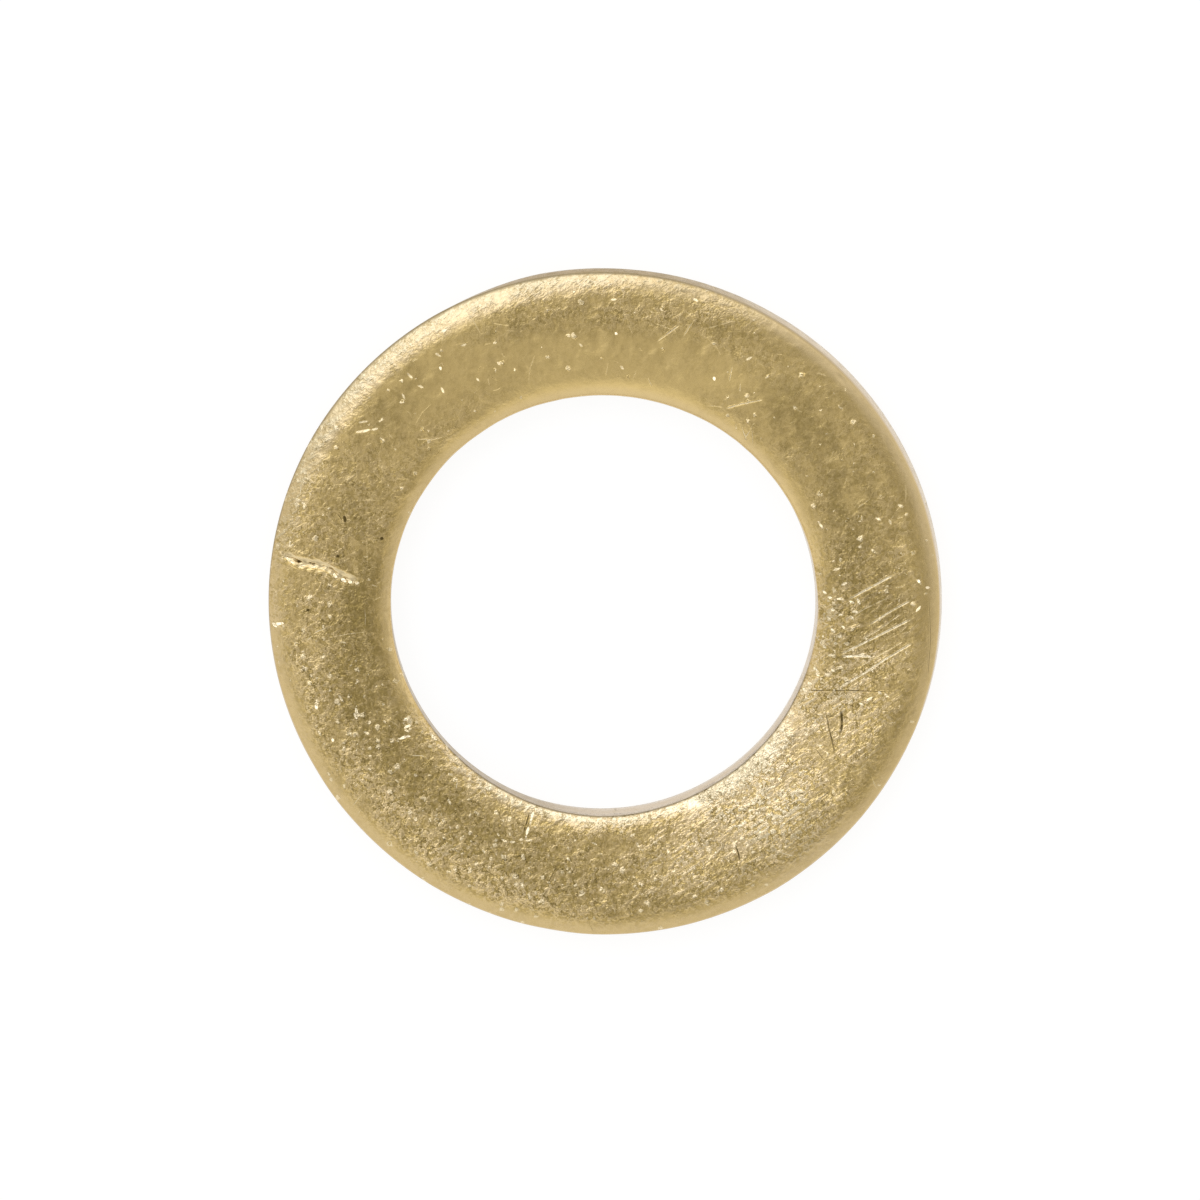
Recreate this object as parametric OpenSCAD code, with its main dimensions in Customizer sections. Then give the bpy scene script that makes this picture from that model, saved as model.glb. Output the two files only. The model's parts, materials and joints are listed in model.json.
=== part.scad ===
// Brass sealing ring of a fuel injection pump, stamped from sheet.
// The origin is the centre of the lower face, and +Z points to the rolled side.

/* [Ring] */
// Diameter over the outer wall
outer_d = 22; // [18:0.1:60]
// Diameter of the bore
bore_d = 14; // [6:0.1:17]
// Thickness of the sheet
thickness = 1.5; // [1:0.05:4]

/* [Rolled edges] */
// Width of the roll-over beside the outer wall
outer_roll_w = 0.88; // [0.4:0.02:1.2]
// Radius of the roll-over beside the outer wall
outer_roll_r = 1.505; // [1.3:0.005:4]
// Width of the roll-over beside the bore
bore_roll_w = 0.82; // [0.4:0.02:1.2]
// Radius of the roll-over beside the bore
bore_roll_r = 1.54; // [1.3:0.005:4]
// Radius of the rim between a roll-over and its wall
rim_r = 0.18; // [0.06:0.01:0.3]

/* [Sheared walls] */
// Height of the broken zone, above which a wall has the size of the die
break_h = 0.45; // [0.25:0.05:0.9]
// How far a wall falls back at the foot of its broken zone
break_in = 0.04; // [0.01:0.01:0.12]
// Radius of the tumbled edge at the lower face
burr_edge_r = 0.12; // [0.05:0.01:0.2]

/* [Gouge] */
// Length of the gouge across the upper face
gouge_len = 2.65; // [1:0.05:3.5]
// Width of the gouge at the upper face
gouge_w = 0.2; // [0.1:0.01:0.4]
// Depth of the gouge at its middle
gouge_depth = 0.05; // [0.02:0.005:0.1]
// Radius of the bend that the gouge follows
gouge_bend_r = 5.4; // [4:0.1:12]
// Place of the gouge around the ring, in degrees from +X
gouge_at = 172; // [0:1:359]
// Turn of the gouge away from the ring's radius, in degrees
gouge_turn = -15; // [-60:1:60]
// Distance of its middle from the middle of the flat land, outwards
gouge_out = 0.4; // [-0.5:0.05:0.5]

/* [Hidden] */

$fn = 180;
outer_r = outer_d / 2;
bore_r = bore_d / 2;
// The two halves of the section start here and reach to their walls
mid_r = (outer_r + bore_r) / 2;
// Overlap of the two halves of the section
half_lap = 0.2;
// Middle of the flat land between the two roll-overs
land_r = (outer_r - outer_roll_w + bore_r + bore_roll_w) / 2;

// A pie slice of a roll-over's disc, from the face down to the rim
module roll_slice(roll_c, roll_r, rim_c) {
  rim_a = atan2(rim_c.y - roll_c.y, rim_c.x - roll_c.x);
  far = 2 * roll_r;
  intersection() {
    translate(roll_c) circle(roll_r);
    polygon([
      [roll_c.x, rim_c.y], rim_c, rim_c + far * [cos(rim_a), sin(rim_a)],
      roll_c + [far, far], roll_c + [0, far]
    ]);
  }
}

// Half of the section, from the middle of the ring to a wall at the given reach
module half_section(reach, roll_w, roll_r) {
  roll_c = [reach - roll_w, thickness - roll_r];
  rim_rise = sqrt(pow(roll_r - rim_r, 2) - pow(roll_w - rim_r, 2));
  rim_c = [reach - rim_r, roll_c.y + rim_rise];
  burr_c = [reach - break_in - burr_edge_r, burr_edge_r];

  polygon([
    [-half_lap, 0], [burr_c.x, 0], [reach - break_in, burr_c.y], [reach, break_h],
    [reach, rim_c.y], rim_c, [roll_c.x, thickness], [-half_lap, thickness]
  ]);
  translate(burr_c) circle(burr_edge_r);
  translate(rim_c) circle(rim_r);
  roll_slice(roll_c, roll_r, rim_c);
}

// The stamped ring before it was marked
module blank() {
  rotate_extrude() translate([mid_r, 0]) {
    half_section(outer_r - mid_r, outer_roll_w, outer_roll_r);
    mirror([1, 0]) half_section(mid_r - bore_r, bore_roll_w, bore_roll_r);
  }
}

// A bent round bar that dips into the upper face over the length of the gouge
module gouge() {
  cut_r = (gouge_w * gouge_w / 4 + gouge_depth * gouge_depth) / (2 * gouge_depth);
  bow = gouge_bend_r - sqrt(gouge_bend_r * gouge_bend_r - gouge_len * gouge_len / 4);
  dip_a = asin(gouge_depth / bow);
  rotate([0, 0, gouge_at]) translate([land_r + gouge_out, 0, thickness + cut_r])
    rotate([0, 0, gouge_turn]) rotate([dip_a, 0, 0])
      translate([0, gouge_bend_r - bow, 0])
        rotate_extrude() translate([gouge_bend_r, 0]) circle(cut_r);
}

module sealing_ring() {
  color("#ccb77c") difference() {
    blank();
    gouge();
  }
}

sealing_ring();
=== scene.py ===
import json
import math

import bpy
import numpy as np
from mathutils import Matrix, Vector

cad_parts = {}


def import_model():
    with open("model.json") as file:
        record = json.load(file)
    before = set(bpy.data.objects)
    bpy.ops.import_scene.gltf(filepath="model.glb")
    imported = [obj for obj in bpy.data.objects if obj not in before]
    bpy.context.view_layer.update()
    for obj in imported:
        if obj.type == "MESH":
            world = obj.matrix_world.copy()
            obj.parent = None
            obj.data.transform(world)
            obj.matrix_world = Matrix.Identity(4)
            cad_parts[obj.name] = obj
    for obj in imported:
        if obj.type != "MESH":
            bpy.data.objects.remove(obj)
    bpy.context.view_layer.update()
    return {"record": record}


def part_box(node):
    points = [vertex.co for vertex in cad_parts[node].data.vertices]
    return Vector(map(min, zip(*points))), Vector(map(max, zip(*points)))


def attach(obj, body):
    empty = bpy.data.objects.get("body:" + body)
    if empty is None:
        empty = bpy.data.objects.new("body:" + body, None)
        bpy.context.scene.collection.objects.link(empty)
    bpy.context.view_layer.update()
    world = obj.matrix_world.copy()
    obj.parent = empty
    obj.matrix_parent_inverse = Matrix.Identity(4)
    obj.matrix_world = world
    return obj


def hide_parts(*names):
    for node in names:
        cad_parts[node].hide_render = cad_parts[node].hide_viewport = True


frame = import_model()

MM = 0.001
NODE = "sealing_ring"


# Sizes of the ring, in millimetres

def mount(name):
    """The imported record's entry for a mount."""
    return next(m for m in frame["record"]["mounts"] if m["name"] == name)


OUTER_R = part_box(NODE)[1].x / MM
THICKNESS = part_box(NODE)[1].z / MM
BORE_R = mount("bore")["dims"]["r_mm"]
MID_R = (OUTER_R + BORE_R) / 2

OUTER_ROLL_W, OUTER_ROLL_R = 0.88, 1.505
BORE_ROLL_W, BORE_ROLL_R = 0.82, 1.54
LAND_IN, LAND_OUT = BORE_R + BORE_ROLL_W, OUTER_R - OUTER_ROLL_W
RIM_R = 0.18
BREAK_H, BREAK_IN = 0.45, 0.04
BURR_EDGE_R = 0.12
# above this height the upper side's wear begins, and comes in over a short way
RIM_Z = THICKNESS - 0.40
WEAR_IN = 0.14

# Spacing of the mesh along the section, and around the ring, where it is finer near the gouge,
# whose direction and half-span are in degrees
TOP_STEP = 0.056
WALL_STEP = 0.35
BASE_STEP = 0.8
AROUND_STEP = 0.42
GOUGE_STEP = 0.12
GOUGE_TURN = 173
GOUGE_SPAN = 8

# The camera is tilted a little to +Y, with +Y up in the picture. Pixels are the photograph's, and
# mark a place on the upper face throughout.
IMAGE_SIZE = 1200
PIXELS_PER_MM = 30.5
RING_AT_PIXEL = (604.3, 606.7)
CAMERA_TILT = math.radians(10.4)
CAMERA_DISTANCE = 600 * MM


def on_face(px, py):
    """The point of the upper face, in millimetres, that a pixel shows."""
    x = (np.asarray(px) - RING_AT_PIXEL[0]) / PIXELS_PER_MM
    y = (RING_AT_PIXEL[1] - np.asarray(py)) / (PIXELS_PER_MM * math.cos(CAMERA_TILT))
    return x, y


# The section

def arc(centre, radius, start, end, step):
    """Points along an arc, without its last one. Angles in degrees."""
    length = abs(math.radians(end - start)) * radius
    count = max(2, math.ceil(length / step))
    angles = np.radians(np.linspace(start, end, count, endpoint=False))
    return [(centre[0] + radius * math.cos(a), centre[1] + radius * math.sin(a)) for a in angles]


def line(start, end, step):
    """Points along a straight stretch, without its last one."""
    count = max(1, math.ceil(math.dist(start, end) / step))
    return [tuple(p) for p in np.linspace(start, end, count, endpoint=False)]


def half_section(reach, roll_w, roll_r):
    """Half of the section, from the middle of the lower face to its wall and back over the top."""
    roll_c = (reach - roll_w, THICKNESS - roll_r)
    rise = math.sqrt((roll_r - RIM_R) ** 2 - (roll_w - RIM_R) ** 2)
    rim_c = (reach - RIM_R, roll_c[1] + rise)
    rim_a = math.degrees(math.atan2(rise, roll_w - RIM_R))
    burr_c = (reach - BREAK_IN - BURR_EDGE_R, BURR_EDGE_R)
    foot = (reach - BREAK_IN, BURR_EDGE_R)
    points = line((0, 0), (burr_c[0], 0), BASE_STEP)
    points += arc(burr_c, BURR_EDGE_R, -90, 0, BURR_EDGE_R / 2)
    points += line(foot, (reach, BREAK_H), WALL_STEP / 2)
    points += line((reach, BREAK_H), (reach, rim_c[1]), WALL_STEP)
    points += arc(rim_c, RIM_R, 0, rim_a, TOP_STEP)
    points += arc(roll_c, roll_r, rim_a, 90, TOP_STEP)
    points += line((roll_c[0], THICKNESS), (0, THICKNESS), TOP_STEP)
    return points


def section():
    """The closed section, once round, as radii and heights."""
    outer = half_section(OUTER_R - MID_R, OUTER_ROLL_W, OUTER_ROLL_R)
    inner = half_section(MID_R - BORE_R, BORE_ROLL_W, BORE_ROLL_R)
    points = [(MID_R + x, z) for x, z in outer] + [(MID_R, THICKNESS)]
    points += [(MID_R - x, z) for x, z in reversed(inner[1:])]
    return np.array(points)


def ring_angles():
    """Angles around the ring, closer together at the gouge."""
    fine = np.arange(GOUGE_TURN - GOUGE_SPAN, GOUGE_TURN + GOUGE_SPAN, GOUGE_STEP)
    rest = 360 - len(fine) * GOUGE_STEP
    count = round(rest / AROUND_STEP)
    coarse = fine[-1] + GOUGE_STEP + np.linspace(0, rest, count, endpoint=False)
    return np.radians(np.concatenate([fine, coarse]))


# Smooth shapes over the ring

def smooth(low, high, value):
    """0 below low, 1 above high, and smooth between; low may be the larger."""
    t = np.clip((value - low) / (high - low), 0, 1)
    return t * t * (3 - 2 * t)


def waves(x, y, shortest, longest, seed, count=28):
    """Smooth bumps of unit size: plane waves of mixed lengths and directions."""
    rng = np.random.default_rng(seed)
    total = np.zeros_like(x)
    for _ in range(count):
        length = shortest * (longest / shortest) ** rng.random()
        turn, phase = rng.random(2) * 2 * math.pi
        total += np.cos((x * math.cos(turn) + y * math.sin(turn)) * 2 * math.pi / length + phase)
    return total * math.sqrt(2 / count)


def blob(x, y, px, py, along, across, turn):
    """A soft oval spot, placed by a pixel, with its half-lengths in mm and its turn in degrees."""
    cx, cy = on_face(px, py)
    c, s = math.cos(math.radians(turn)), math.sin(math.radians(turn))
    u = ((x - cx) * c + (y - cy) * s) / along
    v = ((y - cy) * c - (x - cx) * s) / across
    return np.exp(-(u * u + v * v))


def sector(angle, middle, half_width, fade):
    """1 within half_width of a direction, fading out beyond it. Degrees."""
    off = np.abs((np.degrees(angle) - middle + 180) % 360 - 180)
    return smooth(half_width + fade, half_width, off)


def by_angle(angle, values):
    """A value that changes evenly round the ring, given at equal steps from +X."""
    marks = np.linspace(0, 2 * math.pi, len(values) + 1)
    return np.interp(np.mod(angle, 2 * math.pi), marks, list(values) + [values[0]])


def spots(x, y, table):
    """The sum of a table's soft spots."""
    total = np.zeros_like(x)
    for px, py, along, across, turn, amount in table:
        total += amount * blob(x, y, px, py, along, across, turn)
    return total


def bands(r, angle, table):
    """The sum of a table's bands. Each lies in a sector, and comes in between pairs of radii."""
    total = np.zeros_like(r)
    for amount, directions, *edges in table:
        band = amount * sector(angle, *directions)
        for start, full in edges:
            band = band * smooth(start, full, r)
        total += band
    return total


# Wear of the shape. Sectors are written as (middle, half-width, fade) in degrees.

ALL_ROUND = (0, 180, 1)

# how far the walls are out of round, in mm, every 30 degrees from +X
OUTER_ROUND = (0.020, 0.015, 0.020, 0.060, 0.105, 0.070,
               0.015, -0.045, -0.030, 0.035, 0.060, 0.030)
BORE_ROUND = (0.000, -0.040, -0.045, -0.045, 0.010, 0.015,
              0.000, -0.020, 0.005, 0.060, 0.015, 0.005)
# lean of the walls in mm, from a height down: the outer one widens downwards near +X, with a small
# turn in radians, and draws in at the upper left; the bore's leans in at the lower right
WALL_LEAN = 0.10
LEAN_TURN = 0.09
DRAWN_IN, DRAWN_IN_SHARE = (143, 21, 22), 1.6
BORE_LEAN = (325, 50, 35)
LEAN_FROM_Z, LEAN_DROP = 1.10, 0.98
# distances from the middle of the section, in mm, over which out-of-round and lean come in
ROUND_IN, LEAN_IN = (0.6, 2.0), (1.2, 1.8)

# waves of the upper face: the shortest and longest wave and the height, in mm
WAVES, WAVE_HEIGHT, CALM_WAVES = (1.6, 4.5), 0.0070, (90, 35, 25)
RIPPLES, RIPPLE_HEIGHT, RIPPLE_COUNT = (0.45, 1.1), 0.0016, 40

# settling of the upper side, in mm: depth, sector, radii where it starts and is full, power
SETTLED = [
    (0.00968, ALL_ROUND, 8.6, 7.72, 2),
    (0.220879, (313, 18, 28), 10.1, 7.72, 1.2),
    (0.050, (110, 50, 40), 8.5, 7.1, 2),
    (0.035, (140, 20, 25), 9.8, 10.7, 2),
]

# random dents, flatter on the rolls, and smaller nicks of the outer roll, most of them at the top.
# Sizes are in mm. The higher the bias, the more of them are small; margins are to bore and outside.
DING_SEED = 41
DING_COUNT, DING_SIZE, DING_SLOPE, DING_BIAS = 420, (0.09, 0.36), (0.03, 0.11), 1.6
DING_MARGINS, DING_ON_ROLL = (0.3, 0.25), 0.25
NICK_COUNT, NICK_SIZE, NICK_SLOPE = 150, (0.06, 0.11), (0.03, 0.12)
NICK_IN, NICK_TURN, NICK_SPREAD = (0.08, 0.55), 95, 55
# their stretch, and in units of their size how the hollow falls off and where its rim lies
DENT_STRETCH, DENT_FALL, DENT_REACH = (1, 2.2), 1.4, 4
DENT_RIM, DENT_RIM_AT, DENT_RIM_FALL = 0.25, 1.35, 6

# single dents: pixel, half-lengths in mm, turn, depth in mm
DENTS = [
    (279, 624, 0.16, 0.09, 10, 0.050),
    (347, 580, 0.12, 0.07, -30, 0.020),
    (364, 430, 0.20, 0.06, 10, 0.022),
    (405, 724, 0.16, 0.10, 20, 0.035),
    (403, 738, 0.18, 0.06, 8, 0.025),
    (341, 701, 0.08, 0.12, 0, 0.025),
    (668, 334, 0.30, 0.06, 36, 0.015),
    (853, 657, 0.20, 0.07, 0, 0.020),
]


def within_ring(rng, from_bore, from_outside):
    """A random radius, evenly spread over the area of the ring less a margin at either edge."""
    return math.sqrt(rng.uniform((BORE_R + from_bore) ** 2, (OUTER_R - from_outside) ** 2))


def dings(x, y, top):
    """Shallow dents all over the upper side, each with a low rim pushed up round it."""
    rng = np.random.default_rng(DING_SEED)
    height = np.zeros_like(x)
    for k in range(DING_COUNT + NICK_COUNT):
        if k < DING_COUNT:
            smallest, largest = DING_SIZE
            cr = within_ring(rng, *DING_MARGINS)
            ca = rng.random() * 2 * math.pi
            size = smallest * (largest / smallest) ** (rng.random() ** DING_BIAS)
            steep = rng.uniform(*DING_SLOPE) * (1 if LAND_IN < cr < LAND_OUT else DING_ON_ROLL)
        else:
            cr = OUTER_R - rng.uniform(*NICK_IN)
            ca = math.radians(rng.normal(NICK_TURN, NICK_SPREAD))
            size = rng.uniform(*NICK_SIZE)
            steep = rng.uniform(*NICK_SLOPE)
        stretch = rng.uniform(*DENT_STRETCH)
        turn = rng.random() * math.pi
        cx, cy = cr * math.cos(ca), cr * math.sin(ca)
        reach = DENT_REACH * size
        near = top & (np.abs(x - cx) < reach) & (np.abs(y - cy) < reach)
        dx, dy = x[near] - cx, y[near] - cy
        u = (dx * math.cos(turn) + dy * math.sin(turn)) / (size * stretch)
        v = (dy * math.cos(turn) - dx * math.sin(turn)) / size
        off = np.hypot(u, v)
        rim = DENT_RIM * np.exp(-DENT_RIM_FALL * (off - DENT_RIM_AT) ** 2)
        height[near] += steep * size * (rim - np.exp(-DENT_FALL * off ** 2))
    return height - spots(x, y, DENTS)


GOUGE_PATH = ((281, 553), (289, 557.5), (298, 562), (308, 564.5), (317, 565),
              (327, 568.5), (338, 575), (348, 579.5), (358, 582))
# the gouge's depth and the widths of its flanks in mm, the power of its flanks, what is left of
# the width at its ends, and how far its line wanders
GOUGE_DEPTH, GOUGE_CURVE = 0.075, 1.15
GOUGE_UPPER_W, GOUGE_LOWER_W, GOUGE_END_SHARE = 0.21, 0.12, 0.45
GOUGE_WANDER = 0.012
# how uneven the bottom and the raised lips are
TORN_SHARE, TORN_W = 0.35, 0.12
LIP_HEIGHT, LIP_TORN = 0.016, 0.8
# the middle of the gouge, and the half-sizes of the box that it is worked out in
GOUGE_MIDDLE, GOUGE_BOX = (-9.4, 1.4), (2.2, 1.6)


def signed_distance(x, y, path):
    """Distance to a bent line, positive on its left, the length along it and its whole length."""
    best = np.full(x.shape, 1e9)
    signed = np.zeros_like(x)
    along = np.zeros_like(x)
    run = 0.0
    last = len(path) - 2
    for k in range(last + 1):
        (ax, ay), (bx, by) = path[k], path[k + 1]
        length = math.hypot(bx - ax, by - ay)
        tx, ty = (bx - ax) / length, (by - ay) / length
        t = (x - ax) * tx + (y - ay) * ty
        low = -1e9 if k == 0 else 0
        high = 1e9 if k == last else length
        held = np.clip(t, low, high)
        px, py = x - ax - held * tx, y - ay - held * ty
        d = np.hypot(px, py)
        closer = d < best
        best = np.where(closer, d, best)
        side = np.where(tx * (y - ay) - ty * (x - ax) >= 0, 1.0, -1.0)
        signed = np.where(closer, d * side, signed)
        along = np.where(closer, run + held, along)
        run += length
    return signed, along, run


def gouge(x, y, top):
    """The long dent: a wide gentle flank above, a short steep one below, with a torn bottom.
    Returns its height, and where its clean flanks lie."""
    height, bared = np.zeros_like(x), np.zeros_like(x)
    path = list(zip(*on_face(*zip(*GOUGE_PATH))))
    off_x, off_y = np.abs(x - GOUGE_MIDDLE[0]), np.abs(y - GOUGE_MIDDLE[1])
    near = top & (off_x < GOUGE_BOX[0]) & (off_y < GOUGE_BOX[1])
    d, s, length = signed_distance(x[near], y[near], path)
    fade = smooth(-0.05, 0.45, s) * smooth(length + 0.05, length - 0.25, s)
    torn = waves(x[near], y[near], 0.12, 0.35, seed=7)
    d = d - GOUGE_WANDER * waves(x[near], y[near], 0.2, 0.5, seed=8)
    depth = GOUGE_DEPTH * fade * (1 + TORN_SHARE * torn * smooth(TORN_W, 0, d))
    width = np.where(d > 0, GOUGE_UPPER_W, GOUGE_LOWER_W)
    width = width * (GOUGE_END_SHARE + (1 - GOUGE_END_SHARE) * fade)
    q = np.clip(1 - np.abs(d) / width, 0, 1)
    height[near] -= depth * q ** GOUGE_CURVE
    lower_lip = np.exp(-((d + 1.5 * GOUGE_LOWER_W) / 0.05) ** 2)
    upper_lip = np.exp(-((d - 1.25 * GOUGE_UPPER_W) / 0.07) ** 2)
    height[near] += LIP_HEIGHT * fade * (1 + LIP_TORN * torn) * (lower_lip + 0.4 * upper_lip)
    bared[near] = fade * smooth(0, 0.3, q)
    return height, bared


def relief(x, y, top):
    """How far the upper side stands above the new ring's, in millimetres."""
    r = np.hypot(x, y)
    a = np.arctan2(y, x)
    height = WAVE_HEIGHT * waves(x, y, *WAVES, seed=1) * (1 - 0.4 * sector(a, *CALM_WAVES))
    ripples = waves(x, y, *RIPPLES, seed=2, count=RIPPLE_COUNT)
    height += RIPPLE_HEIGHT * ripples * smooth(LAND_OUT + 0.5, LAND_OUT - 0.2, r)
    return height + dings(x, y, top)


def sag(r, angle):
    """How far the upper side has settled: a little all round, most at the lower right."""
    low = np.zeros_like(r)
    for depth, directions, start, full, power in SETTLED:
        share = np.clip((r - start) / (full - start), 0, 1)
        low += depth * sector(angle, *directions) * share ** power
    return low


# Scratches. Each is drawn by attributes of the mesh that the material reads: the distance across
# it, how strong it is there, and its tone. Scratches of one layer keep clear of each other.

# named scratches: half-width in mm, tone from 1 for bright to -1 for dark, pixels
MARKS = [
    (0.042, 1.15, ((849, 599), (871, 587), (893, 575))),
    (0.038, 0.75, ((869, 625), (891, 611), (913, 599))),
    (0.042, 1.0, ((842, 654), (876, 637), (911, 619))),
    (0.048, 1.3, ((841, 657), (858, 656), (873, 657))),
    (0.040, 1.0, ((840, 688), (862, 675), (886, 659), (912, 643))),
    (0.024, 0.38, ((862, 640), (880, 629), (903, 612))),
    (0.022, 0.38, ((850, 618), (866, 608), (890, 597))),
    (0.024, 0.38, ((858, 668), (880, 655), (905, 640))),
    (0.022, -0.78, ((806, 692), (850, 691), (897, 692.5))),
    (0.018, -0.30, ((928.5, 604), (930, 640), (927, 677))),
    (0.052, -1.0, ((841.5, 709), (842.5, 725), (840, 737))),
    (0.028, -0.80, ((827, 715), (829, 728), (833, 744), (836, 757))),
    (0.020, -0.60, ((816, 750), (826, 763))),
    (0.020, -0.50, ((728, 810), (735, 813), (737, 823), (736, 831))),
    (0.030, -0.95, ((736, 846), (739, 855), (740.5, 864))),
    (0.019, 0.92, ((786, 816), (808, 799))),
    (0.019, 0.69, ((784, 800), (796, 791))),
    (0.016, 0.69, ((777, 852), (797, 857))),
    (0.024, 0.92, ((657, 342), (668, 334), (679, 326))),
    (0.018, 0.69, ((683, 337), (693, 322))),
    (0.022, 0.92, ((724, 409), (742, 404), (763, 400))),
    (0.018, 0.69, ((732, 367), (729, 382))),
    (0.020, 0.8, ((740, 384), (739.5, 392))),
    (0.016, 0.69, ((742, 426), (746, 438), (752, 427))),
    (0.014, 0.57, ((648, 378), (652, 386))),
    (0.022, 0.92, ((314, 633), (319, 630.5), (326, 628))),
    (0.019, 0.8, ((307, 640), (313, 635))),
    (0.012, 0.46, ((331, 637), (348, 634), (366, 632))),
    (0.016, -1.0, ((337, 513), (341, 518), (342, 521))),
    (0.022, -1.2, ((530, 812), (526, 825), (523, 834))),
    (0.018, -0.8, ((558, 865), (554, 872), (546, 888))),
    (0.015, 0.69, ((651, 883), (671, 876))),
    (0.019, 0.92, ((411, 756), (422, 756), (426, 759))),
    (0.018, -0.69, ((356, 710), (355, 719))),
    (0.016, 0.8, ((457, 781), (456, 789))),
    (0.016, 0.69, ((302, 496), (303, 484))),
    (0.019, 0.8, ((293, 531), (295, 529))),
    (0.019, 0.8, ((372, 585), (377, 587))),
    (0.045, 1.0, ((285, 556.5), (290, 561), (295, 564))),
    (0.055, 1.0, ((298, 566), (306, 567.5))),
    (0.045, 1.0, ((311, 567.5), (317, 567))),
    (0.035, -1.0, ((297, 560.5), (302.5, 562.5))),
    (0.035, -1.0, ((309, 563), (315, 565))),
]

# single knocks: pixel, half-length across and down in pixels
KNOCKS = [
    (406, 731, 2, 1), (341, 699, 2, 3), (338, 704, 2, 1),
    (432, 738, 2, 3), (446, 748, 1, 3), (366, 733, 2, 1), (319, 734, 1, 2),
    (450, 775, 2, 1), (449, 802, 1, 2), (439, 356, 2, 1), (445, 334, 2, -1),
    (464, 346, 2, -1), (499, 364, 1, 1), (478, 380, 1, 1), (443, 391, 1, 2),
    (421, 387, 2, 1), (404, 397, 1, 2), (411, 377, 2, 2),
    (695, 302, 2, 1), (613, 301, 2, 0), (581, 346, 1, 1), (622, 368, 1, 1), (749, 359, 2, -1),
    (821, 525, 2, 3), (878, 519, 2, 1), (890, 522, 1, 2), (900, 506, 2, 1), (919, 582, 1, 2),
    (887, 696, 2, 2), (818, 673, 2, 3), (837, 569, 3, -1), (522, 886, 1, 2), (633, 835, 2, -1),
    (638, 846, 1, 2), (595, 844, 2, 1), (582, 895, 2, -1), (435, 740, 1, 2),
    (364, 431.5, 6, -1), (375, 429.5, 3, -0.5), (364, 422.5, 4, -0.5),
    (529, 841, 2, 0), (498, 835, 1, 1), (504, 841, 2, 1), (512, 842.5, 2, 0), (521, 840, 1, 0),
]
LONG_KNOCKS = [
    (279, 624.5, 4, -1), (274.5, 626, 1, 1), (531.5, 819, 1.5, -6), (527, 832, 1.5, -6),
    (405, 737.5, 5, -1),
]
CLEAR_KNOCKS = [
    (405, 720, 3, -1), (407, 727, 3, -1), (316, 707, 0.5, 1.5), (356, 711, 0.5, 2),
    (355, 716, 1, 2), (332, 740, 0.5, 1), (441, 369, 0.5, 1), (714, 379, 0.5, 1),
    (616, 334, 0.5, 0.5),
]
BORE_EDGE_KNOCKS = [
    (918, 609, 1.5, -2), (825, 593, 1, 1), (830, 598, 1, 0), (840, 599, 2, 0), (852, 602, 2, 1),
    (859, 602, 1, 2), (855, 612, 2, 0), (833, 610, 1, 0), (841, 615, 2, 0), (852, 618, 1, 1),
    (829, 619, 1, 1), (823, 637, 0, 1), (833, 631, 1, 1), (840, 637, 1, 0), (825, 648, 1, 1),
    (831, 656, 2, 0), (815, 670, 1, 1), (818, 676, 1, 1), (833, 671, 1, 1), (850, 657, 3, 0),
    (862, 655, 2, 0), (810, 685, 1, 0), (805, 692, 1, 1), (862, 705, 2, 1), (870, 699, 2, -1),
    (880, 693, 1, 1), (918, 581, 1, 1), (927, 588, 1, 0), (844, 584, 2, -1), (836, 644, 1, 0),
    (843, 627, 1, 1),
]
GOUGE_KNOCKS = [
    (335, 575.5, 1.5, 1), (343.5, 580, 2, 1), (350, 582, 1.5, 0.5), (357, 583, 1.5, 0),
]
DARK_KNOCKS = [
    (338, 556.5, 0.5, 0), (308, 610, 0.5, 0), (382, 539, 0.5, 0), (345, 519, 0.5, 2),
]
# each table with its half-width in mm, tone, and the slope of the surface there
KNOCK_TABLES = [
    (GOUGE_KNOCKS, 0.058, 1.0, (0.23, 0.58)),
    (LONG_KNOCKS, 0.055, 0.9, (0, 0)),
    (DARK_KNOCKS, 0.050, -1.4, (0, 0)),
    (CLEAR_KNOCKS, 0.048, 0.85, (0, 0)),
    (BORE_EDGE_KNOCKS, 0.044, 0.75, (0, 0)),
    (KNOCKS, 0.040, 0.56, (0, 0)),
]
# strokes are shared out over layers, in which they keep this far apart; a stroke's values reach
# beyond its core, so that what lies outside doesn't blend into it, and it tapers at its ends
LAYERS, KNOCK_LAYERS = 4, 4
SPACING = 0.32
REACH, CORE = 0.20, 0.10
KNOCK_END, KNOCK_CAP = 0.05, 0.8
TAPER, TAPER_SHARE, TAPER_PAST = 0.25, 0.3, 0.03

# a bright knock is a facet that leans in this direction, roughly towards the brightest panel
FACET_SLOPE = 0.42
FACET_WAY = (math.cos(math.radians(118)), math.sin(math.radians(118)), 0)

# random fine scratches: half-widths and half-lengths in mm, and the share that is bright
HAIR_SEED, HAIR_COUNT, HAIR_MARGINS = 77, 210, (0.4, 0.35)
HAIR_W, HAIR_LENGTH, HAIR_BIAS, HAIR_BEND = (0.006, 0.013), (0.06, 0.55), 1.4, 0.12
HAIR_BRIGHT, HAIR_BRIGHT_TONE, HAIR_DARK_TONE = 0.68, (0.15, 0.7), (0.2, 0.7)
# at the right most of them lie nearly parallel; directions in degrees
PARALLEL_AT, PARALLEL_COS, PARALLEL_SHARE = -10, 0.8, 0.6
PARALLEL_TURN, PARALLEL_SPREAD = 30, 12


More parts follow.
